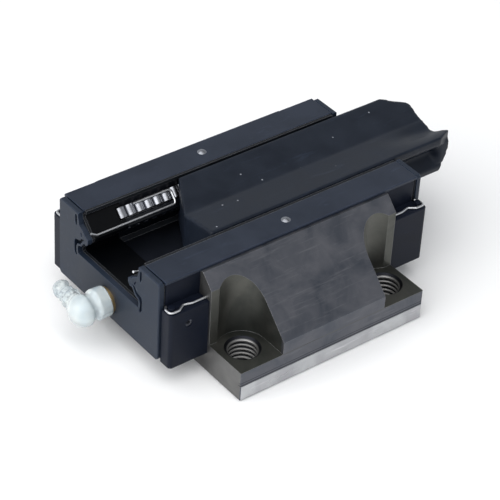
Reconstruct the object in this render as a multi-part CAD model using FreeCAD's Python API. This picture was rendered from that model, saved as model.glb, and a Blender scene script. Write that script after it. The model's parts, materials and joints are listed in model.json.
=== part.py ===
import FreeCAD, Part
import math
import os
from FreeCAD import Placement, Rotation, Vector

# Flanged roller carriage, size 30, lying on its mounting face with both legs up and its
# plastic transport rail pushed in from the far end. Millimetres.
# Origin: centre of the mounting face. +X: travel, towards the far end. +Y: left leg. +Z: up.

# Steel carriage
FLANGE_WIDTH = 90.0
STEEL_LENGTH = 66.6
LEG_TOP = 33.2
GROUND_BAND = 5.2          # height of the ground band round the mounting face
BAND_STEP = 0.2            # the raw face above it stands this far back
FLANGE_HEIGHT = 10.0       # spot faces round the screw holes
RIB_HEIGHT = 14.6          # top of the rib's side face
FLANK_TOP_Y = 25.9         # where the sloping flank meets the leg's top
EDGE_BREAK = 0.4

# Fixing holes, M10 x 1.5, all four tapped through
HOLE_SPACING_X = 52.0
HOLE_SPACING_Y = 72.0
THREAD_MAJOR_R = 5.0
THREAD_MINOR_R = 4.25
THREAD_PITCH = 1.5
THREAD_TURNS = 5
MOUTH_DEPTH = 0.45         # countersink on the mounting face
POCKET_R = 7.5
POCKET_WALL_Y = 30.0       # inner wall of the stretch that opens through the end face

# Rail that the carriage is made for, and the rows of rollers that run on it
RAIL_HALF_WIDTH = 14.0
RAIL_WAIST_Y = 10.0
NOTCH_Z = 26.6             # middle of the notch in the rail's side
NOTCH_APEX_Y = 9.3         # where both flanks of the notch would meet
ROLLER_D = 3.0
ROLLER_LENGTH = 3.5
ROLLER_EDGE = 0.2
ROW_HALF_GAP = 2.4         # height of a loaded row above or below the notch's middle
TURN_R = 4.0
LOWER_TURN_SHIFT = 4.4     # the lower circuit turns this much further out, past the upper one
RACE_GAP = 0.02
CHANNEL_EXTRA = 0.15       # room round a roller in the turns, on each side
CHANNEL_FLOOR = 19.0
CHANNEL_WALL_Y = 16.3
RETURN_BORE_R = 2.6
RETURN_TUBE_BORE_R = 2.35

# End caps, plates and seals
CAP_DEPTH = 11.5
CAP_WING_DEPTH = 13.1
CAP_HALF_WIDTH = 29.3
CAP_BOTTOM = 6.7
LEDGE_Z = 25.4
CAP_UPPER_HALF = 24.6
CAP_CORNER_R = 1.2
CAP_EDGE_R = 0.3
CAP_MOUTH_Y = 14.9
CAP_MOUTH_FLOOR = 19.8
SEAL_THICK = 0.8
PLATE_THICK = 1.6
PLATE_HALF_WIDTH = 24.6
PLATE_BOTTOM = 7.0
PLATE_TOP = 33.9
PORT_Z = 12.6              # lubrication port in the middle of each end
PORT_R = 2.5
SIDE_PORT_X = 40.0         # one side port in each cap
SIDE_PORT_Z = 20.6
SIDE_PORT_R = 1.2

# Strips on the legs
STRIP_TOP = 34.07
STRIP_INNER_Y = 15.2
STRIP_OUTER_Y = 24.9
STRIP_HALF_LENGTH = 45.2
RIVET_Y = 20.1

# Corner clips and retaining wires
CLIP_R = 0.35
CLIP_Y = 27.6
CLIP_Z = 25.8
PEG_X = 44.5               # peg on the cap's ledge, inside the clip's hook
PEG_Y = 26.9
WIRE_R = 0.35

# Transport rail
TRAIL_NEAR_X = -21.5
TRAIL_FAR_X = 70.3
TRAIL_LEFT_Y = 13.7
TRAIL_RIGHT_Y = -13.8
TRAIL_EDGE_R = 0.3

# Grease nipple, on the near end
NIPPLE_ARM_X = -55.2
NIPPLE_TIP_Y = 12.0
COVER_R = 4.95
COVER_MOUTH_R = 4.8
COVER_BALL_R = 2.95
COVER_BALL_Y = 10.9

STEEL_END = STEEL_LENGTH / 2
CAP_FRONT = STEEL_END + CAP_DEPTH
PLATE_BACK = CAP_FRONT + SEAL_THICK
PLATE_FRONT = PLATE_BACK + PLATE_THICK
HALF_SIDE = math.sqrt(0.5)
X_AXIS, Y_AXIS, Z_AXIS = Vector(1, 0, 0), Vector(0, 1, 0), Vector(0, 0, 1)


# ---- small tools ----

def box(x0, x1, y0, y1, z0, z1):
    return Part.makeBox(x1 - x0, y1 - y0, z1 - z0, Vector(x0, y0, z0))


def cylinder(radius, start, end):
    start, end = Vector(*start), Vector(*end)
    return Part.makeCylinder(radius, (end - start).Length, start, end - start)


def cone(r_start, r_end, start, end):
    start, end = Vector(*start), Vector(*end)
    return Part.makeCone(r_start, r_end, (end - start).Length, start, end - start)


def ball(radius, centre):
    return Part.makeSphere(radius, Vector(*centre))


def prism_x(points_yz, x0, x1):
    """A (y, z) outline, drawn out from x0 to x1."""
    corners = [Vector(x0, y, z) for y, z in points_yz]
    return Part.Face(Part.makePolygon(corners + corners[:1])).extrude(Vector(x1 - x0, 0, 0))


def prism_z(points_xy, z0, z1):
    """An (x, y) outline, drawn out from z0 to z1."""
    corners = [Vector(x, y, z0) for x, y in points_xy]
    return Part.Face(Part.makePolygon(corners + corners[:1])).extrude(Vector(0, 0, z1 - z0))


def turned_z(points_rz):
    """A closed (radius, z) outline, turned about Z."""
    corners = [Vector(r, 0, z) for r, z in points_rz]
    face = Part.Face(Part.makePolygon(corners + corners[:1]))
    return face.revolve(Vector(0, 0, 0), Z_AXIS, 360)


def far(shape):
    """The same piece at the other end."""
    return shape.mirror(Vector(0, 0, 0), X_AXIS)


def turned(shape):
    """The same piece turned round to the other end."""
    return right(far(shape))


def right(shape):
    """The same piece on the other leg."""
    return shape.mirror(Vector(0, 0, 0), Y_AXIS)


def both_sides(points_yz):
    """A half outline from the middle outwards and back, closed by its mirror image."""
    return points_yz + [(-y, z) for y, z in reversed(points_yz)]


def bent_wire(points, radius, bend):
    """A round wire along straight runs, with an arc of the bend radius at each point."""
    points = [Vector(*p) for p in points]
    edges = []
    start = points[0]
    for before, corner, after in zip(points, points[1:], points[2:]):
        into = (corner - before).normalize()
        out = (after - corner).normalize()
        turn = into.getAngle(out)
        reach = bend * math.tan(turn / 2)
        arc_start, arc_end = corner - into * reach, corner + out * reach
        middle = (out - into).normalize() * (bend / math.cos(turn / 2) - bend) + corner
        edges.append(Part.LineSegment(start, arc_start).toShape())
        edges.append(Part.Arc(arc_start, middle, arc_end).toShape())
        start = arc_end
    edges.append(Part.LineSegment(start, points[-1]).toShape())
    path = Part.Wire(edges)
    ring = Part.Wire(Part.makeCircle(radius, points[0], points[1] - points[0]))
    return path.makePipeShell([ring], True, True)


def save(name, shape):
    shape.exportStep(f"parts/{name}.step")


# ---- circuits of rollers, drawn for the left leg ----

class Circuit:
    """A loaded row, its return bore and the half turns between them.

    The rollers' axes lie at 45 degrees, along the flank they run on, and the circuit lies in
    the plane square to them. sign is +1 for the upper row and -1 for the lower.
    """

    def __init__(self, sign, shift):
        reach = ROLLER_D / 2 * HALF_SIDE
        touch_y = NOTCH_APEX_Y + ROW_HALF_GAP + reach
        self.loaded = Vector(0, touch_y + reach, NOTCH_Z + sign * ROW_HALF_GAP)
        self.across = Vector(0, HALF_SIDE, -sign * HALF_SIDE)
        self.axis = Vector(0, HALF_SIDE, sign * HALF_SIDE)
        self.back = self.loaded + self.across * (2 * TURN_R)
        self.turn_x = STEEL_END + shift

    def place(self, travelled):
        """Centre of a roller that has travelled this far round the circuit."""
        straight, arc = 2 * self.turn_x, math.pi * TURN_R
        if travelled < straight:
            return self.loaded + X_AXIS * (travelled - self.turn_x)
        travelled -= straight
        if travelled < arc:
            angle = travelled / TURN_R
            out = self.turn_x + TURN_R * math.sin(angle)
            return self.loaded + X_AXIS * out + self.across * (TURN_R * (1 - math.cos(angle)))
        travelled -= arc
        if travelled < straight:
            return self.back + X_AXIS * (self.turn_x - travelled)
        angle = (travelled - straight) / TURN_R
        out = -self.turn_x - TURN_R * math.sin(angle)
        return self.back + X_AXIS * out - self.across * (TURN_R * (1 - math.cos(angle)))

    def rollers(self):
        around = 4 * self.turn_x + 2 * math.pi * TURN_R
        count = int(around / (ROLLER_D + 0.08))
        turn = Rotation(Z_AXIS, self.axis)
        pieces = []
        for i in range(count):
            piece = roller()
            piece.Placement = Placement(self.place(i * around / count), turn)
            pieces.append(piece)
        return Part.makeCompound(pieces)

    def section(self, centre, x):
        """Outline of the roller's way at this x, round the centre."""
        half_axis = self.axis * (ROLLER_LENGTH / 2 + CHANNEL_EXTRA)
        half_across = self.across * (ROLLER_D / 2 + CHANNEL_EXTRA)
        middle = Vector(x, centre.y, centre.z)
        signs = ((1, 1), (1, -1), (-1, -1), (-1, 1))
        corners = [middle + half_axis * s + half_across * t for s, t in signs]
        return Part.Face(Part.makePolygon(corners + corners[:1]))

    def turn_way(self):
        """The space of one half turn, with the straight ways that lead to it."""
        extra = ROLLER_D / 2 + CHANNEL_EXTRA
        height = ROLLER_LENGTH + 2 * CHANNEL_EXTRA
        pivot = (self.loaded + self.back) * 0.5 + X_AXIS * self.turn_x
        base = pivot - self.axis * (height / 2)
        ring = Part.makeCylinder(TURN_R + extra, height, base, self.axis)
        ring = ring.cut(Part.makeCylinder(TURN_R - extra, height, base, self.axis))
        way = ring.common(box(self.turn_x, self.turn_x + 10, 0, 40, 10, 45))
        start = STEEL_END - 0.5
        for centre in (self.loaded, self.back):
            lead = self.section(centre, start).extrude(X_AXIS * (self.turn_x - start))
            way = way.fuse(lead)
        return way.removeSplitter()

    def return_bore(self, radius, margin=0.0):
        x, y, z = STEEL_END + margin, self.back.y, self.back.z
        return cylinder(radius, (-x, y, z), (x, y, z))

    def return_tube(self):
        return self.return_bore(RETURN_BORE_R - 0.02).cut(
            self.return_bore(RETURN_TUBE_BORE_R, 1))


def roller():
    r, half = ROLLER_D / 2, ROLLER_LENGTH / 2
    return turned_z([(0, -half), (r - ROLLER_EDGE, -half), (r, ROLLER_EDGE - half),
                     (r, half - ROLLER_EDGE), (r - ROLLER_EDGE, half), (0, half)])


CIRCUITS = {"upper": Circuit(1, 0.0), "lower": Circuit(-1, LOWER_TURN_SHIFT)}


# ---- steel carriage ----

def carriage_outline():
    race_y = NOTCH_APEX_Y + 3 * HALF_SIDE * 2 + RACE_GAP
    rise = CHANNEL_WALL_Y - race_y
    half, raw = FLANGE_WIDTH / 2, FLANGE_WIDTH / 2 - BAND_STEP
    return both_sides([
        (half - EDGE_BREAK, 0), (half, EDGE_BREAK),
        (half, GROUND_BAND - BAND_STEP), (raw, GROUND_BAND),
        (raw, RIB_HEIGHT - 0.5), (raw - 0.4, RIB_HEIGHT),
        (FLANK_TOP_Y, LEG_TOP), (CHANNEL_WALL_Y, LEG_TOP),
        (CHANNEL_WALL_Y, NOTCH_Z + rise), (race_y, NOTCH_Z),
        (CHANNEL_WALL_Y, NOTCH_Z - rise), (CHANNEL_WALL_Y, CHANNEL_FLOOR)])


def screw_pocket():
    """The space above one fixing hole, open to the side and to the end."""
    x, y = HOLE_SPACING_X / 2, HOLE_SPACING_Y / 2
    z0, z1 = FLANGE_HEIGHT, LEG_TOP + 5
    pocket = cylinder(POCKET_R, (x, y, z0), (x, y, z1))
    pocket = pocket.fuse(box(x - POCKET_R, STEEL_END + 5, y, FLANGE_WIDTH, z0, z1))
    return pocket.fuse(box(x, STEEL_END + 5, POCKET_WALL_Y, y + 1, z0, z1)).removeSplitter()


def tapped_hole():
    """Bore, mouth chamfers and thread grooves of one fixing hole."""
    lead = THREAD_MAJOR_R + 0.25
    depth = lead - THREAD_MINOR_R
    half_crest, half_root = THREAD_PITCH * 0.395, THREAD_PITCH * 0.0625
    hole = cylinder(THREAD_MINOR_R, (0, 0, -1), (0, 0, FLANGE_HEIGHT + 1))
    hole = hole.fuse(cone(lead, THREAD_MINOR_R, (0, 0, 0), (0, 0, MOUTH_DEPTH)))
    top = FLANGE_HEIGHT
    hole = hole.fuse(cone(THREAD_MINOR_R, lead, (0, 0, top - depth), (0, 0, top)))
    inner = THREAD_MINOR_R - 0.05
    first = FLANGE_HEIGHT / 2 - (THREAD_TURNS - 1) / 2 * THREAD_PITCH
    for turn in range(THREAD_TURNS):
        z = first + turn * THREAD_PITCH
        hole = hole.fuse(turned_z([(inner, z - half_crest), (THREAD_MAJOR_R, z - half_root),
                                   (THREAD_MAJOR_R, z + half_root), (inner, z + half_crest)]))
    hole.translate(Vector(HOLE_SPACING_X / 2, HOLE_SPACING_Y / 2, 0))
    return hole


def end_edge_breaks():
    """Small chamfers along the mounting face's end edge and up the flange's corner."""
    e, x, y = EDGE_BREAK, STEEL_END, FLANGE_WIDTH / 2
    bottom = Part.Face(Part.makePolygon([
        Vector(x - e, -60, 0), Vector(x + 1, -60, 1 + e), Vector(x + 1, -60, 0),
        Vector(x - e, -60, 0)])).extrude(Vector(0, 120, 0))
    bottom = bottom.fuse(box(x - e, x + 1, -60, 60, -1, 0))
    corner = prism_z([(x - e, y), (x + 1, y - e - 1), (x + 1, y + 1), (x - e, y + 1)], -1, 20)
    return bottom.fuse(corner)


def carriage_body():
    body = prism_x(carriage_outline(), -STEEL_END, STEEL_END)
    clip_bore = cylinder(CLIP_R + 0.05, (STEEL_END - 4.3, CLIP_Y, CLIP_Z),
                         (STEEL_END + 1, CLIP_Y, CLIP_Z))
    quarter = screw_pocket().fuse(tapped_hole()).fuse(end_edge_breaks()).fuse(clip_bore)
    for cut in (quarter, right(quarter), far(quarter), far(right(quarter))):
        body = body.cut(cut)
    for circuit in CIRCUITS.values():
        bore = circuit.return_bore(RETURN_BORE_R, 1)
        body = body.cut(bore).cut(right(bore))
    rivet = cylinder(0.85, (0, RIVET_Y, LEG_TOP - 0.4), (0, RIVET_Y, LEG_TOP + 1))
    return body.cut(rivet).cut(right(rivet)).removeSplitter()


# ---- pieces between the rollers, left leg ----

def cage_bar():
    """Bar between the two loaded rows, which reaches into the notch of the rail's side."""
    z = NOTCH_Z
    return prism_x([(9.9, z - 0.2), (11.3, z - 1.6), (11.9, z - 1.55), (13.45, z),
                    (11.9, z + 1.55), (11.3, z + 1.6), (9.9, z + 0.2)], -STEEL_END, STEEL_END)


def upper_guide():
    """Fills the corner beyond the upper row's outer ends."""
    wall = CHANNEL_WALL_Y
    return prism_x([(14.9, 30.6), (wall, 29.38), (wall, LEG_TOP), (14.9, LEG_TOP)],
                   -STEEL_END, STEEL_END)


def lower_guide():
    wall = CHANNEL_WALL_Y
    return prism_x([(14.25, CHANNEL_FLOOR), (wall, CHANNEL_FLOOR), (wall, 23.82),
                    (14.25, 21.98)], -STEEL_END, STEEL_END)


def channel_seal():
    """Rubber strip beside the rail's head, on the channel's floor."""
    return prism_x([(12.9, 19.0), (14.2, 19.0), (14.2, 20.0), (13.6, 20.4)],
                   -STEEL_END, STEEL_END)


def retaining_wire(closed_x):
    """Hairpin of wire that holds the upper row's rollers where no rail does.

    It lies just in front of the rollers, in the plane of the rail's upper flank.
    """
    near, plane = 1.4 - PLATE_FRONT, NOTCH_Z - NOTCH_APEX_Y + 0.55
    low, high = (10.1, 10.1 + plane), (13.3, 13.3 + plane)
    return bent_wire([
        (near, low[0] + 0.35, low[1] + 0.9), (near + 1.8, *low), (closed_x, *low),
        (closed_x, *high), (closed_x - 13, *high)], WIRE_R, 1.1)


# ---- end caps, plates, seals, built at the far end ----

def rounded_corner(x, y, radius):
    """Points of a quarter round at the outer corner (x, y), for y > 0."""
    centre_x, centre_y = x - radius, y - radius
    angles = [math.radians(a) for a in range(0, 91, 15)]
    return [(centre_x + radius * math.cos(a), centre_y + radius * math.sin(a)) for a in angles]


def softened(block, levels):
    """The block with its edges at these heights rounded, apart from those against the steel."""
    rims = []
    for edge in block.Edges:
        bounds = edge.BoundBox
        at_level = any(abs(bounds.ZMin - z) + abs(bounds.ZMax - z) < 1e-4 for z in levels)
        if at_level and edge.CenterOfMass.x > STEEL_END + 0.01:
            rims.append(edge)
    return block.makeFillet(CAP_EDGE_R, rims)


def cap_block():
    """Cap without its ways: wide block with wings, narrow block above the ledge."""
    wing_x, gap_y = STEEL_END + CAP_WING_DEPTH, PLATE_HALF_WIDTH + 0.4
    half = [(CAP_FRONT, gap_y), (wing_x, gap_y)]
    half += rounded_corner(wing_x, CAP_HALF_WIDTH, CAP_CORNER_R)
    half += [(STEEL_END, CAP_HALF_WIDTH)]
    mirror = [(x, -y) for x, y in reversed(half)]
    wide = softened(prism_z(half + mirror, CAP_BOTTOM, LEDGE_Z), (CAP_BOTTOM, LEDGE_Z))
    half = rounded_corner(CAP_FRONT, CAP_UPPER_HALF, 0.8) + [(STEEL_END, CAP_UPPER_HALF)]
    mirror = [(x, -y) for x, y in reversed(half)]
    narrow = softened(prism_z(half + mirror, LEDGE_Z - 1, LEG_TOP), (LEG_TOP,))
    block = wide.fuse(narrow)
    for y in (PEG_Y, -PEG_Y):
        peg = cylinder(0.9, (PEG_X, y, LEDGE_Z - 1), (PEG_X, y, LEDGE_Z + 1.3))
        block = block.fuse(peg)
    return block.removeSplitter()


def cap_mouth():
    """Room for the rail's head: its notched outline with clearance, left half from the floor up."""
    apex, wall = 9.9, CAP_MOUTH_Y
    low, high = NOTCH_Z - 0.6, NOTCH_Z + 0.4
    return [(wall, CAP_MOUTH_FLOOR), (wall, low - (wall - apex)), (apex, low), (apex, high),
            (wall, high + (wall - apex)), (wall, LEG_TOP + 5)]


def lube_ways():
    """Centre port through the cap and grooves on its inner face, up to the turns."""
    inner, deep = STEEL_END - 1, STEEL_END + 0.9
    ways = cylinder(PORT_R, (STEEL_END + 4, 0, PORT_Z), (CAP_FRONT + 1, 0, PORT_Z))
    ways = ways.fuse(cylinder(1.2, (inner, 0, PORT_Z), (CAP_FRONT, 0, PORT_Z)))
    ways = ways.fuse(box(inner, deep, -0.8, 0.8, PORT_Z, 16))
    ways = ways.fuse(box(inner, deep, -20.2, 20.2, 15, 16.4))
    for y in (-19.4, 19.4):
        ways = ways.fuse(box(inner, deep, y - 0.8, y + 0.8, 15, 22))
    return ways


def end_cap():
    cap = cap_block()
    cap = cap.cut(prism_x(both_sides(cap_mouth()), STEEL_END - 1, CAP_FRONT + 3))
    for circuit in CIRCUITS.values():
        way = circuit.turn_way()
        cap = cap.cut(way).cut(right(way))
    cap = cap.cut(lube_ways())
    for y in (-21.5, -12.0, 12.0, 21.5):
        cap = cap.cut(cylinder(1.55, (CAP_FRONT - 3.2, y, 10.2), (CAP_FRONT + 1, y, 10.2)))
    x, y, z = SIDE_PORT_X, CAP_HALF_WIDTH, SIDE_PORT_Z
    return cap.cut(cylinder(SIDE_PORT_R, (x, y - 4, z), (x, y + 1, z)))


def plate_mouth():
    """Outline of the end plate's opening, left half, from the floor up."""
    return [(14.8, CAP_MOUTH_FLOOR), (15.2, 21.2), (14.8, 22.6), (13.3, 23.2), (11.9, 25.1),
            (10.8, 24.9), (10.0, 25.9), (10.0, 27.3), (11.5, 28.0), (12.5, 29.0),
            (14.3, 30.0), (14.9, 32.4), (14.9, PLATE_TOP + 2)]


def plate_slits():
    """Three slits beside the mouth, which leave its edge free to bend as a lip."""
    back, front = PLATE_BACK - 1, PLATE_FRONT + 1
    upper = prism_x([(15.5, 32.6), (16.0, 33.2), (16.4, 32.8), (16.4, 30.4), (15.9, 29.2),
                     (15.5, 29.7)], back, front)
    middle = prism_x([(13.3, 28.1), (13.8, 27.9), (13.3, 26.7), (12.8, 26.6)], back, front)
    lower = prism_x([(11.7, 26.3), (13.2, 26.0), (14.0, 24.9), (16.3, 24.3), (16.8, 23.0),
                     (16.7, 19.8), (16.0, 18.6), (15.4, 19.0), (15.75, 20.2), (15.8, 22.0),
                     (15.2, 23.1), (13.8, 23.6), (12.5, 25.5)], back, front)
    return upper.fuse(middle).fuse(lower)


def end_plate():
    half, low, high, soft = PLATE_HALF_WIDTH, PLATE_BOTTOM, PLATE_TOP, 0.8
    outline = both_sides([(half - soft, low), (half, low + soft), (half, high - soft),
                          (half - soft, high)])
    plate = prism_x(outline, PLATE_BACK, PLATE_FRONT)
    rim = [e for e in plate.Edges if e.CenterOfMass.x > PLATE_FRONT - 1e-6]
    plate = plate.makeChamfer(0.25, rim)
    plate = plate.cut(prism_x(both_sides(plate_mouth()), PLATE_BACK - 1, PLATE_FRONT + 1))
    slits = plate_slits()
    plate = plate.cut(slits).cut(right(slits))
    plate = plate.cut(cylinder(3.2, (PLATE_BACK - 1, 0, PORT_Z), (PLATE_FRONT + 1, 0, PORT_Z)))
    for y in (-21.5, -12.0, 12.0, 21.5):
        peg = cylinder(1.5, (CAP_FRONT - 3, y, 10.2), (PLATE_BACK + 0.5, y, 10.2))
        plate = plate.fuse(peg)
    return plate.removeSplitter()


def end_seal():
    """Rubber sheet behind the end plate, with its mouth on the rail's own outline."""
    apex, wide = NOTCH_APEX_Y + 0.2, RAIL_HALF_WIDTH + 0.8
    waist = RAIL_WAIST_Y - 0.05
    mouth = both_sides([
        (wide, CAP_MOUTH_FLOOR + 0.2), (wide, NOTCH_Z - (wide - apex)),
        (waist, NOTCH_Z - (waist - apex)), (waist, NOTCH_Z + (waist - apex)),
        (wide, NOTCH_Z + (wide - apex)), (wide, PLATE_TOP + 2)])
    half = PLATE_HALF_WIDTH - 0.6
    seal = box(CAP_FRONT, PLATE_BACK, -half, half, PLATE_BOTTOM + 0.7, LEG_TOP - 0.2)
    seal = seal.cut(prism_x(mouth, CAP_FRONT - 1, PLATE_BACK + 1))
    seal = seal.cut(cylinder(3.2, (CAP_FRONT - 1, 0, PORT_Z), (PLATE_BACK + 1, 0, PORT_Z)))
    for y in (-21.5, -12.0, 12.0, 21.5):
        seal = seal.cut(cylinder(1.55, (CAP_FRONT - 1, y, 10.2), (PLATE_BACK + 1, y, 10.2)))
    return seal


def corner_clip():
    """Spring wire from the steel's end, along the ledge and round the cap's peg, left leg."""
    outer_y, hook_x = PEG_Y + 1.45, PEG_X + 1.35
    return bent_wire([
        (STEEL_END - 4.0, CLIP_Y, CLIP_Z), (38.0, CLIP_Y, CLIP_Z), (40.6, PEG_Y, CLIP_Z),
        (42.9, outer_y, CLIP_Z), (hook_x, outer_y, CLIP_Z), (hook_x, PEG_Y - 0.9, CLIP_Z),
        (hook_x - 0.8, PEG_Y - 2.0, CLIP_Z)], CLIP_R, 0.9)


def hex_bar(across_flats, start_x, end_x, z):
    reach = across_flats / math.sqrt(3)
    angles = [math.radians(30 + 60 * i) for i in range(6)]
    points = [(reach * math.cos(a), z + reach * math.sin(a)) for a in angles]
    return prism_x(points, start_x, end_x)


def port_plug():
    """Set screw in the far end's port."""
    plug = cylinder(PORT_R - 0.02, (STEEL_END + 4.2, 0, PORT_Z), (PLATE_FRONT - 0.5, 0, PORT_Z))
    return plug.cut(hex_bar(2.5, PLATE_FRONT - 3, PLATE_FRONT, PORT_Z))


def side_plug():
    """Set screw in the far cap's side port."""
    x, y, z = SIDE_PORT_X, CAP_HALF_WIDTH, SIDE_PORT_Z
    plug = cylinder(SIDE_PORT_R - 0.02, (x, y - 3.9, z), (x, y - 0.5, z))
    socket = hex_bar(1.3, -1.2, 1.2, 0)
    socket.Placement = Placement(Vector(x, y - 0.5, z), Rotation(X_AXIS, Y_AXIS))
    return plug.cut(socket)


# ---- strips on the legs, left leg ----

def leg_strip():
    inner, outer, low, top, e = STRIP_INNER_Y, STRIP_OUTER_Y, LEG_TOP, STRIP_TOP, 0.2
    strip = prism_x([(inner, low), (outer, low), (outer, top - e), (outer - e, top),
                     (inner + e, top), (inner, top - e)], -STRIP_HALF_LENGTH, STRIP_HALF_LENGTH)
    return strip.cut(cylinder(0.85, (0, RIVET_Y, low - 1), (0, RIVET_Y, top + 1)))


def lip_seal():
    """Rubber lip along the strip's inner edge."""
    back = STRIP_INNER_Y - 0.02
    return prism_x([(14.3, 33.9), (back, 33.9), (back, 33.22), (14.75, 33.22), (14.65, 32.75),
                    (14.35, 32.8)], -CAP_FRONT, CAP_FRONT)


def strip_rivet():
    head_r, head_h = 1.4, 0.55
    dome_r = (head_r ** 2 + head_h ** 2) / (2 * head_h)
    dome = ball(dome_r, (0, RIVET_Y, STRIP_TOP + head_h - dome_r))
    dome = dome.common(box(-2, 2, RIVET_Y - 2, RIVET_Y + 2, STRIP_TOP, STRIP_TOP + 2))
    return dome.fuse(cylinder(0.83, (0, RIVET_Y, LEG_TOP - 0.35), (0, RIVET_Y, STRIP_TOP)))


# ---- transport rail ----

def transport_rail():
    """Plastic stand-in for the rail: notched sides, and a shallow V along its top."""
    left, right_y = TRAIL_LEFT_Y, TRAIL_RIGHT_Y
    outline = [
        (-0.5, 32.4), (left, 33.8), (left, 31.6), (9.2, 27.1), (9.2, 25.9), (12.6, 22.5),
        (12.2, 20.3), (-12.2, 20.3), (-12.6, 22.5), (-9.2, 25.9), (-9.2, 27.1),
        (right_y, 31.7), (right_y, 34.3)]
    bar = prism_x(outline, TRAIL_NEAR_X, TRAIL_FAR_X)
    rims = [e for e in bar.Edges if e.Length > 50 and e.CenterOfMass.z > 30
            and abs(e.CenterOfMass.y) > 10]
    bar = bar.makeFillet(TRAIL_EDGE_R, rims)
    return bar.common(prism_z(transport_rail_plan(), 10, 40))


def transport_rail_plan():
    """Seen from above: the near end's left half is cut askew, both far corners are cut off,
    and the far end is hollowed between them."""
    near, far_x, left, right_y = TRAIL_NEAR_X, TRAIL_FAR_X, TRAIL_LEFT_Y, TRAIL_RIGHT_Y
    return [(near, right_y - 1), (near, -1), (near + 8.5, left + 0.2), (near + 8.5, left + 1),
            (62, left + 1), (far_x - 0.3, 7.5), (far_x - 1.9, 1.3), (far_x - 3.1, -7.4),
            (far_x, -10.7), (64.4, right_y), (62.8, right_y - 1)]


# ---- grease nipple and its cover, near end ----

def nipple_washer():
    ring = cylinder(4.1, (-PLATE_FRONT - 0.7, 0, PORT_Z), (-PLATE_FRONT, 0, PORT_Z))
    return ring.cut(cylinder(2.6, (-PLATE_FRONT - 1, 0, PORT_Z), (1 - PLATE_FRONT, 0, PORT_Z)))


def nipple_body():
    """Elbow: shank in the port, hexagon, arm along +Y and a head with a check ball inside."""
    x, z, seat, tip = NIPPLE_ARM_X, PORT_Z, -PLATE_FRONT - 0.72, NIPPLE_TIP_Y
    body = cylinder(PORT_R - 0.02, (seat, 0, z), (-STEEL_END - 4.5, 0, z))
    body = body.fuse(hex_bar(7.0, seat - 3, seat, z))
    body = body.fuse(cylinder(2.4, (x, 0, z), (seat, 0, z))).fuse(ball(2.4, (x, 0, z)))
    body = body.fuse(cylinder(1.75, (x, 0, z), (x, tip - 4.4, z)))
    body = body.fuse(cylinder(1.3, (x, tip - 5, z), (x, tip - 1, z)))
    body = body.fuse(cone(1.35, 1.7, (x, tip - 2.4, z), (x, tip - 1.6, z)))
    body = body.fuse(cone(1.7, 0.95, (x, tip - 1.6, z), (x, tip, z)))
    bores = cylinder(0.6, (x, 0, z), (-STEEL_END - 4, 0, z))
    bores = bores.fuse(cylinder(0.6, (x, 0, z), (x, tip - 4, z)))
    bores = bores.fuse(cylinder(0.9, (x, tip - 4.2, z), (x, tip - 0.6, z)))
    bores = bores.fuse(cylinder(0.5, (x, tip - 0.7, z), (x, tip + 0.5, z)))
    return body.cut(bores).removeSplitter()


def nipple_spring():
    """Coil of straight runs and arcs, six runs a turn, under the check ball."""
    coil_r, turns, pitch, foot = 0.6, 5, 0.4, NIPPLE_TIP_Y - 4.07
    points = []
    for i in range(6 * turns + 1):
        angle = math.radians(60 * i)
        points.append((NIPPLE_ARM_X + coil_r * math.cos(angle), foot + pitch * i / 6,
                       PORT_Z + coil_r * math.sin(angle)))
    return bent_wire(points, 0.11, 0.45)


def nipple_cover():
    """Soft cover of the nipple: bulb, neck and ball, slit open towards the carriage."""
    x, z, mouth = NIPPLE_ARM_X, PORT_Z, -PLATE_FRONT - 0.8
    cover = ball(COVER_R, (x, 0, z))
    cover = cover.fuse(cone(COVER_R, COVER_MOUTH_R, (x, 0, z), (mouth, 0, z)))
    cover = cover.fuse(cone(3.7, 2.6, (x, 2.0, z), (x, 9.0, z)))
    cover = cover.fuse(ball(COVER_BALL_R, (x, COVER_BALL_Y, z)))
    inner, back, end = 2.05, 2 - PLATE_FRONT, NIPPLE_TIP_Y + 0.4
    room = cylinder(4.4, (mouth - 3.6, 0, z), (back, 0, z))
    room = room.fuse(cylinder(2.8, (x, 0, z), (back, 0, z))).fuse(ball(2.8, (x, 0, z)))
    room = room.fuse(cylinder(inner, (x, 0, z), (x, end, z)))
    room = room.fuse(box(x, back, 0, end, z - inner, z + inner))
    return cover.cut(room)


# ---- the assembly ----

def build():
    save("carriage_body", carriage_body())
    cap, plate, seal = end_cap(), end_plate(), end_seal()
    clips = Part.makeCompound([corner_clip(), right(corner_clip())])
    for name, piece in (("end_cap", cap), ("end_plate", plate), ("end_seal", seal),
                        ("cap_clips", clips)):
        save(f"{name}_far", piece)
        save(f"{name}_near", turned(piece))
    plug = side_plug()
    save("side_port_plugs", Part.makeCompound([plug, turned(plug)]))
    save("far_port_plug", port_plug())
    for row, circuit in CIRCUITS.items():
        rollers, tube = circuit.rollers(), circuit.return_tube()
        save(f"rollers_{row}_left", rollers)
        save(f"rollers_{row}_right", right(rollers))
        save(f"return_tube_{row}_left", tube)
        save(f"return_tube_{row}_right", right(tube))
    for name, piece in (("cage_bar", cage_bar()), ("upper_guide", upper_guide()),
                        ("lower_guide", lower_guide()), ("channel_seal", channel_seal()),
                        ("leg_strip", leg_strip()), ("lip_seal", lip_seal())):
        save(f"{name}_left", piece)
        save(f"{name}_right", right(piece))
    save("strip_rivets", Part.makeCompound([strip_rivet(), right(strip_rivet())]))
    save("retaining_wire_left", retaining_wire(-16.3))
    save("retaining_wire_right", right(retaining_wire(-23.0)))
    save("transport_rail", transport_rail())
    save("nipple_washer", nipple_washer())
    save("nipple_body", nipple_body())
    save("nipple_ball", ball(0.8, (NIPPLE_ARM_X, NIPPLE_TIP_Y - 1.3, PORT_Z)))
    save("nipple_spring", nipple_spring())
    save("nipple_cover", nipple_cover())


os.makedirs("parts", exist_ok=True)
build()
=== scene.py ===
import json
import math

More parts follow.
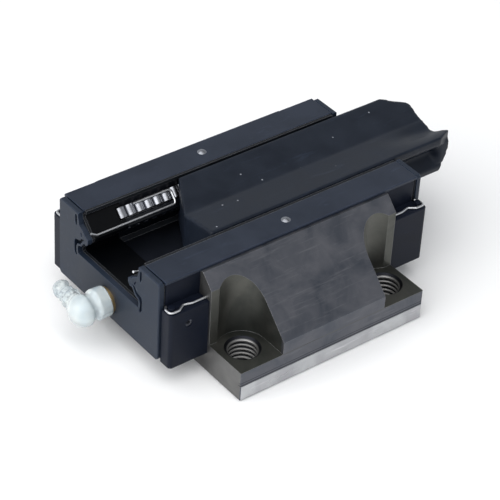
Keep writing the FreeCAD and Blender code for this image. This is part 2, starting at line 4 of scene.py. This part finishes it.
import bmesh
import bpy
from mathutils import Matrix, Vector, noise

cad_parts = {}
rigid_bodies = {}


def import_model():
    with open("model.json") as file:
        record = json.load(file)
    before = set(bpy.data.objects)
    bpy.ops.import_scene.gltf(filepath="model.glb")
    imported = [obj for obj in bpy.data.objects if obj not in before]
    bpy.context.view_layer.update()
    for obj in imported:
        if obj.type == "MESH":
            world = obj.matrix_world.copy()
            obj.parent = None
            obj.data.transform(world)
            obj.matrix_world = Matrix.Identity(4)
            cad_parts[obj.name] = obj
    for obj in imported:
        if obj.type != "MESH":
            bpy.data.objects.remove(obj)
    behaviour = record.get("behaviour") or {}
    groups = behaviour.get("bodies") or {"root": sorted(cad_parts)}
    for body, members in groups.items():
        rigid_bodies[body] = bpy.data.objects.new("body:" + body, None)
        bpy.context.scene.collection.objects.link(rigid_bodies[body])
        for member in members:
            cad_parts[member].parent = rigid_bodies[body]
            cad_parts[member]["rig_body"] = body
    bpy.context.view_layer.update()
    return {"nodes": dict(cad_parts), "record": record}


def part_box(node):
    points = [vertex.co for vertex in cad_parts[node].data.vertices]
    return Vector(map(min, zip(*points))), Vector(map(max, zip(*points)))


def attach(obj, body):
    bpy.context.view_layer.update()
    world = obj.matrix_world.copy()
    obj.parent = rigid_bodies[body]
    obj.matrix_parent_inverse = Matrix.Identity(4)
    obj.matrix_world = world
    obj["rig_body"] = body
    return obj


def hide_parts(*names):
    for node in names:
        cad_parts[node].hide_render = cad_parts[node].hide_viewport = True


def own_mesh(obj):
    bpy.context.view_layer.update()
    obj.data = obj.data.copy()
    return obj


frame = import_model()
NODES = frame["nodes"]
SLOTS = {part["node"]: part["material_slot"] for part in frame["record"]["subparts"]}
MM = 0.001


# ---- camera, floor and light ----

CAMERA_PLACE = Vector((-0.3187, -0.3919, 0.3949))
CAMERA_AZIMUTH, CAMERA_ELEVATION, CAMERA_ROLL = 39.478, 37.260, 3.528
CAMERA_LENS, SENSOR_WIDTH = 154.5, 36.0
CLIP_START, CLIP_END = 0.05, 20.0

FLOOR_HALF = 3.0
FLOOR_DROP = 0.05 * MM
FLOOR_GREY, FLOOR_ROUGHNESS = 0.92, 0.8

DOME_COLOUR = (0.93, 0.96, 1.0, 1)
DOME_LOW, DOME_HIGH = 0.35, 0.80            # heights between which the dome fades
DOME_BRIGHT, DOME_DIM = 0.85, 0.12          # strengths below and above them


def link(obj):
    bpy.context.scene.collection.objects.link(obj)
    return obj


def facing(forward):
    """Rotation of a camera or light that looks along forward."""
    return forward.to_track_quat("-Z", "Y").to_euler()


def add_camera():
    """Azimuth 0 looks along +Y; the elevation tips the camera down."""
    data = bpy.data.cameras.new("camera")
    data.lens, data.sensor_width = CAMERA_LENS, SENSOR_WIDTH
    data.clip_start, data.clip_end = CLIP_START, CLIP_END
    camera = link(bpy.data.objects.new("camera", data))
    camera.location = CAMERA_PLACE
    a, e = math.radians(CAMERA_AZIMUTH), math.radians(CAMERA_ELEVATION)
    forward = Vector((math.sin(a) * math.cos(e), math.cos(a) * math.cos(e), -math.sin(e)))
    camera.rotation_euler = facing(forward)
    camera.rotation_euler.rotate_axis("Z", math.radians(CAMERA_ROLL))
    bpy.context.scene.camera = camera


def add_softbox(name, place, target, size, power):
    data = bpy.data.lights.new(name, "AREA")
    data.shape, data.size, data.size_y = "RECTANGLE", size[0], size[1]
    data.energy = power
    light = link(bpy.data.objects.new(name, data))
    light.location = place
    light.rotation_euler = facing(Vector(target) - Vector(place))


def add_floor():
    grid = bmesh.new()
    bmesh.ops.create_grid(grid, x_segments=1, y_segments=1, size=FLOOR_HALF)
    mesh = bpy.data.meshes.new("floor")
    grid.to_mesh(mesh)
    grid.free()
    floor = link(bpy.data.objects.new("floor", mesh))
    floor.location.z = -FLOOR_DROP
    scuff_and_highlight_tone = bpy.data.materials.new("floor")
    scuff_and_highlight_tone.use_nodes = True
    shader = scuff_and_highlight_tone.node_tree.nodes["Principled BSDF"]
    shader.inputs["Base Color"].default_value = (FLOOR_GREY, FLOOR_GREY, FLOOR_GREY, 1)
    shader.inputs["Roughness"].default_value = FLOOR_ROUGHNESS
    mesh.materials.append(scuff_and_highlight_tone)


def add_world():
    """A dome that is bright near the horizon and dim overhead."""
    world = bpy.data.worlds.new("studio")
    bpy.context.scene.world = world
    world.use_nodes = True
    tree = world.node_tree
    back = tree.nodes["Background"]
    back.inputs["Color"].default_value = DOME_COLOUR
    split = tree.nodes.new("ShaderNodeSeparateXYZ")
    height = tree.nodes.new("ShaderNodeMapRange")
    tree.links.new(tree.nodes.new("ShaderNodeTexCoord").outputs["Generated"], split.inputs[0])
    tree.links.new(split.outputs["Z"], height.inputs["Value"])
    fade = (DOME_LOW, DOME_HIGH, DOME_BRIGHT, DOME_DIM)
    for socket, value in zip(height.inputs[1:5], fade):
        socket.default_value = value
    tree.links.new(height.outputs["Result"], back.inputs["Strength"])


# ---- materials ----

# A mix node has sockets of the same name for each type of data, so they go by number here:
# first and second value going in, and the result.
MIX_SOCKETS = {"FLOAT": (2, 3, 0), "RGBA": (6, 7, 2)}


class Finish:
    """A node material. Numbers that are the same all over go straight on the shader."""

    def __init__(self, name, **fixed):
        self.material = bpy.data.materials.new(name)
        self.material.use_nodes = True
        self.tree = self.material.node_tree
        self.shader = self.tree.nodes["Principled BSDF"]
        for socket, value in fixed.items():
            self.shader.inputs[socket.replace("_", " ")].default_value = value
        self.place = self.add("ShaderNodeTexCoord").outputs["Object"]

    def add(self, kind, **settings):
        node = self.tree.nodes.new(kind)
        for key, value in settings.items():
            setattr(node, key, value)
        return node

    def feed(self, socket, value):
        if isinstance(value, bpy.types.NodeSocket):
            self.tree.links.new(value, socket)
        elif value is not None:
            socket.default_value = value

    def calc(self, operation, a, b=0.0, c=0.0):
        node = self.add("ShaderNodeMath", operation=operation)
        for socket, value in zip(node.inputs, (a, b, c)):
            self.feed(socket, value)
        return node.outputs["Value"]

    def stretched(self, by):
        node = self.add("ShaderNodeVectorMath", operation="MULTIPLY")
        self.feed(node.inputs[0], self.place)
        self.feed(node.inputs[1], by)
        return node.outputs["Vector"]

    def grain(self, per_metre, detail=2.0, rough=0.5, stretch=(1, 1, 1), warp=0.0):
        node = self.add("ShaderNodeTexNoise")
        self.feed(node.inputs["Vector"], self.stretched(stretch))
        self.feed(node.inputs["Scale"], per_metre)
        self.feed(node.inputs["Detail"], detail)
        self.feed(node.inputs["Roughness"], rough)
        self.feed(node.inputs["Distortion"], warp)
        return node.outputs["Fac"]

    def specks(self, per_metre, size, missing=0.72):
        """1 in small dots, of which the missing share is left out."""
        node = self.add("ShaderNodeTexVoronoi", feature="F1")
        self.feed(node.inputs["Vector"], self.place)
        self.feed(node.inputs["Scale"], per_metre)
        near = self.ramp(node.outputs["Distance"], size, 0.6 * size)
        draw = self.add("ShaderNodeSeparateColor")
        self.feed(draw.inputs[0], node.outputs["Color"])
        return self.all_of(near, self.above(draw.outputs[0], missing))

    def ramp(self, factor, low, high, start=0.0, end=1.0):
        node = self.add("ShaderNodeMapRange", clamp=True)
        for socket, value in zip(node.inputs, (factor, low, high, start, end)):
            self.feed(socket, value)
        return node.outputs["Result"]

    def mix(self, data_type, factor, first, second):
        """The first value where the factor is 0, the second where it is 1."""
        node = self.add("ShaderNodeMix", data_type=data_type)
        first_in, second_in, result = MIX_SOCKETS[data_type]
        self.feed(node.inputs["Factor"], factor)
        self.feed(node.inputs[first_in], first)
        self.feed(node.inputs[second_in], second)
        return node.outputs[result]

    def colours(self, factor, *pair):
        """The pair's first colour where the factor is 0, its second where it is 1."""
        opaque = [(*colour, 1.0) if isinstance(colour, tuple) else colour for colour in pair]
        return self.mix("RGBA", factor, *opaque)

    def all_of(self, *masks):
        """1 where every mask is 1."""
        product = masks[0]
        for mask in masks[1:]:
            product = self.calc("MULTIPLY", product, mask)
        return product

    def opposite(self, mask):
        return self.calc("SUBTRACT", 1.0, mask)

    def above(self, value, limit):
        return self.calc("GREATER_THAN", value, limit)

    def below(self, value, limit):
        return self.calc("LESS_THAN", value, limit)

    def axes(self):
        node = self.add("ShaderNodeSeparateXYZ")
        self.feed(node.inputs[0], self.place)
        return node.outputs

    def rounded(self, radius):
        """Normal as if the edges were rounded."""
        bevel = self.add("ShaderNodeBevel", samples=4)
        bevel.inputs["Radius"].default_value = radius
        return bevel.outputs["Normal"]

    def edges(self, radius):
        """1 on sharp outer and inner edges, 0 on flat stretches."""
        flat = self.add("ShaderNodeNewGeometry").outputs["Normal"]
        dot = self.add("ShaderNodeVectorMath", operation="DOT_PRODUCT")
        self.feed(dot.inputs[0], self.rounded(radius))
        self.feed(dot.inputs[1], flat)
        return self.ramp(dot.outputs["Value"], 0.99, 0.8)

    def bump(self, height, depth, soft_edge=None):
        node = self.add("ShaderNodeBump")
        self.feed(node.inputs["Height"], height)
        node.inputs["Distance"].default_value = depth
        if soft_edge is not None:
            self.feed(node.inputs["Normal"], self.rounded(soft_edge))
        self.feed(self.shader.inputs["Normal"], node.outputs["Normal"])

    def done(self, colour=None, roughness=None):
        self.feed(self.shader.inputs["Base Color"], colour)
        self.feed(self.shader.inputs["Roughness"], roughness)
        return self.material


def moulded_plastic(name, dark, light, rough, scuffed, specular=0.5, edge=0.12 * MM, edge_wear_and_highlight=0.7,
                    dusty=0.0, painted_shade_width=0.0):
    """Glass-filled plastic: fine spark texture, flow clouds, scuffs, edges paled by wear and
    painted highlight.

    Scuffed, the edge weight and dusty say how strongly scuffs, edges and dust show. It gets
    painted shade where y is within the shade width of 0.
    """
    scuff_and_highlight_tone = tuple(3.2 * c for c in light)
    dust, painted_shade_colour = (0.35, 0.37, 0.41), (0.0005, 0.0008, 0.0015)
    m = Finish(name, IOR=1.5, Specular_IOR_Level=specular)
    clouds = m.grain(90, detail=3, rough=0.6, warp=0.4)
    spark = m.grain(5200, detail=1)
    scuff = m.grain(260, detail=5, rough=0.7, stretch=(0.25, 1.6, 1.6), warp=1.0)
    marks = m.all_of(m.ramp(scuff, 0.6, 0.72), scuffed)
    # pale scuffs, and edges paled partly by wear and partly as painted highlight
    scuffs_and_edge_highlight = m.calc("MAXIMUM", marks, m.all_of(m.edges(edge), edge_wear_and_highlight))
    colour = m.colours(m.ramp(clouds, 0.35, 0.65), dark, light)
    colour = m.colours(scuffs_and_edge_highlight, colour, scuff_and_highlight_tone)
    if dusty:
        colour = m.colours(m.all_of(m.specks(230, 0.07), dusty), colour, dust)
    # painted shade inside the channel, near y = 0
    if painted_shade_width:
        in_painted_shade = m.below(m.calc("ABSOLUTE", m.axes()[1]), painted_shade_width)
        colour = m.colours(in_painted_shade, colour, painted_shade_colour)
    roughness = m.calc("ADD", m.ramp(clouds, 0.3, 0.7, rough - 0.05, rough + 0.06),
                       m.calc("MULTIPLY", marks, -0.12))
    height = m.calc("ADD", spark, m.calc("MULTIPLY", clouds, 0.5))
    m.bump(height, 0.02 * MM, soft_edge=0.15 * MM)
    return m.done(colour, roughness)


def rubber(name):
    """Matt rubber with a painted highlight line along its lips."""
    m = Finish(name, IOR=1.5, Specular_IOR_Level=0.3)
    clouds = m.grain(300, detail=3)
    bloom = m.grain(1400, detail=2)
    colour = m.colours(m.ramp(clouds, 0.4, 0.7), (0.002, 0.003, 0.005), (0.004, 0.006, 0.010))
    # painted highlight line on the lips' edges
    colour = m.colours(m.edges(0.14 * MM), colour, (0.19, 0.195, 0.21))
    m.bump(bloom, 0.02 * MM)
    return m.done(colour, m.ramp(clouds, 0.3, 0.7, 0.55, 0.7))


def bright_metal(name, colour, rough, per_metre=1500, stretch=(1, 1, 1), depth=0.006 * MM):
    """Drawn, turned or ground metal with fine marks along the stretch and duller patches."""
    dull = tuple(0.72 * c for c in colour)
    m = Finish(name, Metallic=1.0)
    marks = m.grain(per_metre, detail=4, rough=0.65, stretch=stretch)
    patches = m.grain(350, detail=3)
    tone = m.colours(m.ramp(patches, 0.35, 0.7), colour, dull)
    m.bump(marks, depth)
    return m.done(tone, m.ramp(patches, 0.3, 0.7, rough, rough + 0.14))


def carriage_zones(m):
    """Masks of the carriage's zones, which are told apart by where they are."""
    _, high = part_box("carriage_body")
    band_top, flange_top = 5.2 * MM, 10.0 * MM
    channel_y, race_z = 16.0 * MM, 22.0 * MM            # channel's half width, and its top
    pocket_y, rim = 27.0 * MM, 1.2 * MM                 # pockets' inner side, and outer rim
    hole_x, hole_y, thread_r = 26.0 * MM, 36.0 * MM, 5.3 * MM
    line_low, line_high = 0.25 * MM, 1.05 * MM          # dark lines' heights above the band
    line_low_half, line_high_half, line_rim = 0.16 * MM, 0.10 * MM, 1.0 * MM
    crest_out, crest_in = 4.7 * MM, 4.36 * MM           # radii between which the crests' painted highlight fades in
    near = 0.1 * MM                                     # counts as on a face
    level = 0.2                                         # a wall's normal rises less than this

    x, y, z = m.axes()
    far_x, far_y = m.calc("ABSOLUTE", x), m.calc("ABSOLUTE", y)
    on_end = m.above(far_x, high.x - near / 2)
    on_side = m.above(far_y, high.y - near)
    ground = m.calc("MAXIMUM", m.all_of(on_side, m.below(z, band_top)), m.below(z, near / 2))
    in_mouth, high_up = m.below(far_y, channel_y), m.above(z, race_z)
    races = m.all_of(in_mouth, high_up)

    from_x, from_y = m.calc("SUBTRACT", far_x, hole_x), m.calc("SUBTRACT", far_y, hole_y)
    radius = m.calc("SQRT", m.calc("ADD", m.all_of(from_x, from_x), m.all_of(from_y, from_y)))

    normal = m.add("ShaderNodeSeparateXYZ")
    m.feed(normal.inputs[0], m.add("ShaderNodeNewGeometry").outputs["Normal"])
    upright = m.below(m.calc("ABSOLUTE", normal.outputs["Z"]), level)
    wall = m.all_of(upright, m.below(far_y, high.y - rim))
    bottom = m.below(z, flange_top + near)
    in_pocket = m.all_of(m.calc("MAXIMUM", wall, bottom), m.above(z, flange_top - near),
                         m.above(far_y, pocket_y), m.opposite(on_end))

    lines = m.calc("MAXIMUM", m.calc("COMPARE", z, band_top + line_low, line_low_half),
                   m.calc("COMPARE", z, band_top + line_high, line_high_half))
    return {"on_end": on_end, "in_pocket": in_pocket,
            "lines": m.all_of(lines, m.above(far_y, high.y - line_rim)),
            "polished": m.calc("MAXIMUM", ground, races),
            "channel": m.all_of(in_mouth, m.opposite(high_up)),
            "thread": m.below(radius, thread_r),
            "crest_highlight": m.ramp(radius, crest_out, crest_in)}


def carriage_steel(name):
    """Hardened steel: ground faces, raw dark machining above the ground band, oily pockets."""
    m = Finish(name, Metallic=1.0)
    zone = carriage_zones(m)
    clouds = m.grain(120, detail=4, rough=0.6, warp=0.6)
    streaks = m.grain(900, detail=4, rough=0.7, stretch=(0.08, 1, 1))
    smudges = m.grain(55, detail=4, rough=0.55, warp=1.2)
    pits = m.grain(2600, detail=3, rough=0.8)

    raw = m.colours(m.ramp(clouds, 0.3, 0.7), (0.080, 0.088, 0.106), (0.140, 0.142, 0.158))
    raw = m.colours(m.ramp(streaks, 0.55, 0.75), raw, (0.165, 0.167, 0.182))
    end_grey = m.colours(m.ramp(clouds, 0.3, 0.7), (0.14, 0.138, 0.138), (0.22, 0.22, 0.215))
    oily = m.colours(m.ramp(smudges, 0.35, 0.65), (0.074, 0.078, 0.072), (0.125, 0.125, 0.113))
    bright = m.colours(m.ramp(smudges, 0.4, 0.62), (0.53, 0.54, 0.55), (0.42, 0.42, 0.44))
    bright = m.colours(m.ramp(streaks, 0.6, 0.8), bright, (0.74, 0.74, 0.76))
    # tapped holes: painted shade in the thread roots, painted highlight on the crests
    thread_shade_and_highlight = m.colours(zone["crest_highlight"], (0.022, 0.023, 0.028), (0.33, 0.325, 0.32))

    colour = m.colours(zone["on_end"], raw, end_grey)
    colour = m.colours(zone["in_pocket"], colour, oily)
    # edges paler, partly from wear and partly as painted highlight
    colour = m.colours(m.all_of(m.edges(0.16 * MM), 0.55), colour, (0.46, 0.46, 0.47))
    colour = m.colours(m.all_of(zone["lines"], 0.7), colour, (0.020, 0.021, 0.026))
    colour = m.colours(zone["polished"], colour, bright)
    colour = m.colours(zone["channel"], colour, (0.026, 0.030, 0.042))
    colour = m.colours(zone["thread"], colour, thread_shade_and_highlight)

    raw_rough = m.ramp(clouds, 0.3, 0.7, 0.42, 0.55)
    polished_rough = m.ramp(streaks, 0.3, 0.8, 0.24, 0.42)
    height = m.calc("ADD", m.calc("MULTIPLY", pits, 0.6), streaks)
    m.bump(height, 0.012 * MM, soft_edge=0.12 * MM)
    return m.done(colour, m.mix("FLOAT", zone["polished"], raw_rough, polished_rough))


def film(name):
    """Milky clear film, with painted shade in its neck's creases."""
    m = Finish(name, IOR=1.42, Transmission_Weight=0.52, Coat_Weight=0.8, Coat_Roughness=0.05)
    clouds = m.grain(200, detail=2, warp=0.3)
    creases = m.grain(1200, detail=4, rough=0.7, stretch=(1, 0.7, 1), warp=0.8)
    on_neck = m.ramp(m.axes()[1], 3.6 * MM, 4.6 * MM)
    colour = m.colours(m.ramp(clouds, 0.35, 0.7), (0.92, 0.97, 0.96), (0.74, 0.84, 0.89))
    # painted shade in the neck's creases
    crease_shade = m.all_of(m.ramp(creases, 0.42, 0.66), m.calc("MULTIPLY", on_neck, 0.8))
    colour = m.colours(crease_shade, colour, (0.34, 0.38, 0.41))
    m.bump(m.all_of(creases, m.calc("ADD", on_neck, 0.3)), 0.07 * MM)
    return m.done(colour, m.ramp(clouds, 0.3, 0.7, 0.08, 0.2))


PLASTICS = {
    "cap_plastic": dict(dark=(0.0045, 0.0065, 0.013), light=(0.007, 0.0095, 0.018), rough=0.42,
                        specular=0.12, scuffed=0.25, painted_shade_width=16 * MM),
    "plate_plastic": dict(dark=(0.008, 0.014, 0.026), light=(0.013, 0.020, 0.035), rough=0.5,
                          specular=0.3, scuffed=0.25, edge=0.2 * MM, edge_wear_and_highlight=1.0),
    "tube_plastic": dict(dark=(0.10, 0.10, 0.09), light=(0.16, 0.16, 0.14), rough=0.4,
                         scuffed=0.1),
    "cage_plastic": dict(dark=(0.002, 0.003, 0.005), light=(0.005, 0.006, 0.009), rough=0.3,
                         specular=0.3, scuffed=0.15),
    "strip_plastic": dict(dark=(0.009, 0.014, 0.026), light=(0.015, 0.021, 0.036), rough=0.42,
                          specular=0.32, scuffed=0.3, edge=0.25 * MM, edge_wear_and_highlight=1.0),
    "rail_plastic": dict(dark=(0.006, 0.009, 0.016), light=(0.010, 0.014, 0.023), rough=0.4,
                         specular=0.18, scuffed=0.3, dusty=0.8),
}

METALS = {
    "wire_steel": dict(colour=(0.68, 0.69, 0.71), rough=0.3, stretch=(0.1, 1, 1)),
    "plug_steel": dict(colour=(0.20, 0.21, 0.24), rough=0.5),
    "roller_steel": dict(colour=(0.40, 0.41, 0.44), rough=0.2, depth=0.001 * MM),
    "rivet_steel": dict(colour=(0.30, 0.31, 0.34), rough=0.3, per_metre=2500, depth=0.02 * MM),
    "washer_brass": dict(colour=(0.72, 0.52, 0.26), rough=0.3, per_metre=900),
    "nipple_steel": dict(colour=(0.62, 0.62, 0.60), rough=0.25),
}


def make_finishes():
    """One material for each of the record's slots."""
    plastics = {slot: moulded_plastic(slot, **look) for slot, look in PLASTICS.items()}
    metals = {slot: bright_metal(slot, **look) for slot, look in METALS.items()}
    others = {"ground_steel": carriage_steel("ground_steel"),
              "seal_rubber": rubber("seal_rubber"),
              "cover_film": film("cover_film")}
    return {**plastics, **metals, **others}


def finish_nodes(finishes):
    for name, obj in NODES.items():
        obj.data.materials.clear()
        obj.data.materials.append(finishes[SLOTS[name]])


# ---- soft, moulded and sprung pieces that stand for CAD solids ----

def ease(t):
    """0 to 1, level at both ends."""
    t = max(0.0, min(1.0, t))
    return t * t * (3 - 2 * t)


def stand_in(node, name, finishes):
    """A new piece with a copy of a CAD node's mesh, in that node's place, body and finish."""
    piece = link(bpy.data.objects.new(name, NODES[node].data.copy()))
    piece.data.materials.clear()
    piece.data.materials.append(finishes[SLOTS[node]])
    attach(piece, NODES[node]["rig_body"])
    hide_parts(node)
    return piece


def evened(node, name, finishes, voxel, rounds, shift):
    """A stand-in with one even skin and soft edges; shift gives how far each point moves."""
    piece = stand_in(node, name, finishes)
    remesh = piece.modifiers.new("even", "REMESH")
    remesh.mode, remesh.voxel_size = "VOXEL", voxel
    smooth = piece.modifiers.new("soft", "SMOOTH")
    smooth.factor, smooth.iterations = 0.5, rounds
    bpy.context.view_layer.update()
    skin = piece.evaluated_get(bpy.context.evaluated_depsgraph_get())
    mesh = bpy.data.meshes.new_from_object(skin)
    piece.modifiers.clear()
    piece.data = mesh
    for vertex in mesh.vertices:
        vertex.co += shift(vertex.co)
    mesh.shade_smooth()


def squeezed(out, distance, core):
    """A move along out from an axis: it fades near the axis and stops short of the core."""
    far = out.length
    if far == 0:
        return out
    moved = far + distance * ease(far / (1.5 * MM))
    return out * ((max(moved, min(far, core)) - far) / far)


def add_film_cover(finishes):
    """Soft cover: folds and creases on its neck, dents in its bulb, a waist before its skirt.

    Depths, insets and cores are in millimetres. A core is the radius that the nipple needs.
    """
    fold_depth, crease_depth, neck_inset = 0.22, 0.36, 0.1
    dent_depth, dent_inset, pinch_depth = 0.3, 0.35, 0.9
    arm_core, elbow_core, shank_core, hexagon_core = 2.25, 2.9, 3.0, 4.6
    fold_wave, fold_wander, wander_scale = 17, 2.5, 260
    crease_scale, dent_scale, dent_offset = 1000, 170, Vector((3, 1, 7))

    low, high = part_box("nipple_cover")
    bulb_r = (high.z - low.z) / 2
    centre = Vector((low.x + bulb_r, low.y + bulb_r, low.z + bulb_r))
    neck_start, neck_end = centre.y + 0.75 * bulb_r, high.y - 4.4 * MM

    def shift(point):
        along = (point.y - neck_start) / (neck_end - neck_start)    # 0 to 1 along the neck
        on_neck = ease(5 * along) * ease(5 * (1 - along))           # fades at both its ends
        fold = math.sin(fold_wave * along + fold_wander * noise.noise(point * wander_scale))
        crease = noise.noise(point * crease_scale)
        dent = noise.noise(point * dent_scale + dent_offset)
        folded = fold_depth * fold + crease_depth * crease - neck_inset
        dented = dent_depth * (dent - dent_inset)
        move = on_neck * folded + (1 - on_neck) * dented
        at_elbow = ease(3.5 - (point.y - centre.y) / MM)
        core = arm_core + (elbow_core - arm_core) * at_elbow
        from_arm = Vector((point.x - centre.x, 0, point.z - centre.z))
        moved = squeezed(from_arm, move * MM, core * MM)

        on_skirt = (point.x - centre.x) / (high.x - centre.x)       # 0 to 1 along the skirt
        from_shank = Vector((0, point.y - centre.y, point.z - centre.z))
        off_neck = ease(4.3 - from_shank.y / (1.5 * MM))
        waist = off_neck * ease(4 * on_skirt) * ease(2.2 - 4 * on_skirt)
        underside = ease(3 * on_skirt - 1) * ease(-from_shank.z / (2 * MM))
        core = shank_core + (hexagon_core - shank_core) * ease(9 * on_skirt - 3.3)
        pinch = -pinch_depth * (waist + underside)
        return moved + squeezed(from_shank, pinch * MM, core * MM)

    evened("nipple_cover", "film_cover", finishes, voxel=0.22 * MM, rounds=4, shift=shift)


def add_rail(finishes):
    """Moulded rail: soft edges, a lip curled up at the far end, a waist that fills out there."""
    low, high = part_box("transport_rail")
    top_start, top_fade = high.z - 5 * MM, 2 * MM
    outer_start, outer_fade = -6 * MM, 3 * MM
    curl_start, curl_length = high.x - 24 * MM, 20 * MM
    dip_y, dip_width, dip_depth = low.y + 7.6 * MM, 3.6 * MM, 1.35 * MM
    wave_depth, wave_scale = 0.08 * MM, 60
    waist_low, waist_high = low.z + 2.4 * MM, low.z + 11.2 * MM
    fill_start, fill_length, filled_y = high.x - 6.5 * MM, 3 * MM, -12.2 * MM
    end_inset, slant_top, slant = 1.1 * MM, low.z + 6.7 * MM, 0.43

    def shift(point):
        on_top = ease((point.z - top_start) / top_fade)
        across = math.exp(-((point.y - dip_y) / dip_width) ** 2)
        dip = dip_depth * across * ease((point.x - curl_start) / curl_length)
        lift = on_top * (wave_depth * noise.noise(point * wave_scale) - dip)
        in_waist = ease((point.z - waist_low) / MM) * ease((waist_high - point.z) / MM)
        outer = ease((outer_start - point.y) / outer_fade)
        filled = in_waist * outer * ease((point.x - fill_start) / fill_length)
        side = filled * min(0.0, filled_y - point.y)
        below = outer * ease((waist_low - point.z) / MM + 1)
        end_x = high.x - end_inset - slant * max(0.0, slant_top - point.z)
        back = max(filled, below) * min(0.0, end_x - point.x)
        return Vector((back, side, lift))

    evened("transport_rail", "moulded_rail", finishes, voxel=0.4 * MM, rounds=5, shift=shift)


def add_check_spring(finishes):
    """Spring under the nipple's ball, as a stand-in with a mesh of its own."""
    spring = stand_in("nipple_spring", "check_spring", finishes)
    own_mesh(spring)


bpy.context.scene.view_settings.view_transform = "Standard"
add_camera()
add_world()
add_floor()
add_softbox("top_softbox", place=(-0.5, -0.1, 1.1), target=(0, 0, 0), size=(2.0, 2.0), power=25)
add_softbox("left_softbox", place=(-1.1, 0.0, 0.45), target=(0, 0, 0.02), size=(0.9, 0.7),
            power=2.5)
finishes = make_finishes()
finish_nodes(finishes)
add_film_cover(finishes)
add_rail(finishes)
add_check_spring(finishes)
